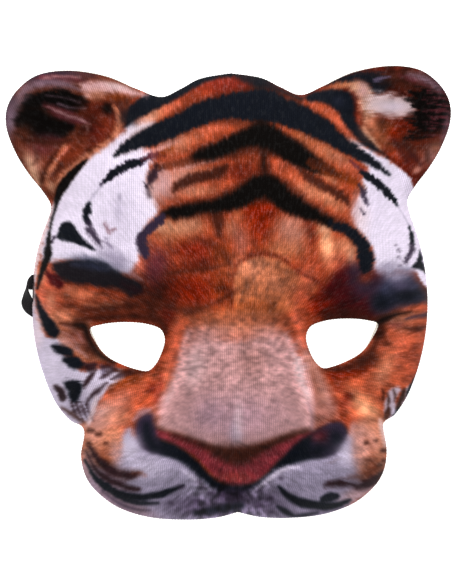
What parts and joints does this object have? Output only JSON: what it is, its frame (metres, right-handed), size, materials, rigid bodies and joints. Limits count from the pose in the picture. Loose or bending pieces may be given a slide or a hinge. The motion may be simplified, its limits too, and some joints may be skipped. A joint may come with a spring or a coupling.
{
  "type": "tiger mask",
  "caption": "Moulded half face mask shaped like a tiger's face, with eye holes, dished ears, a raised nose and muzzle, and a flat elastic strap.",
  "frame": {"origin": "on the resting surface, under the middle of the mask without its strap", "axes": "+Z out of the face, +Y from the mouth towards the ears, +X to the right as the face is seen from the front"},
  "size_m": [0.1786, 0.1799, 0.0765],
  "materials": {
    "printed_knit_on_foam": "matt printed stretch knit laminated to moulded foam",
    "black_elastic": "matt braided elastic"
  },
  "bodies": {
    "root": {"mask_shell": "printed_knit_on_foam", "elastic_strap": "black_elastic"}
  },
  "joints": []
}
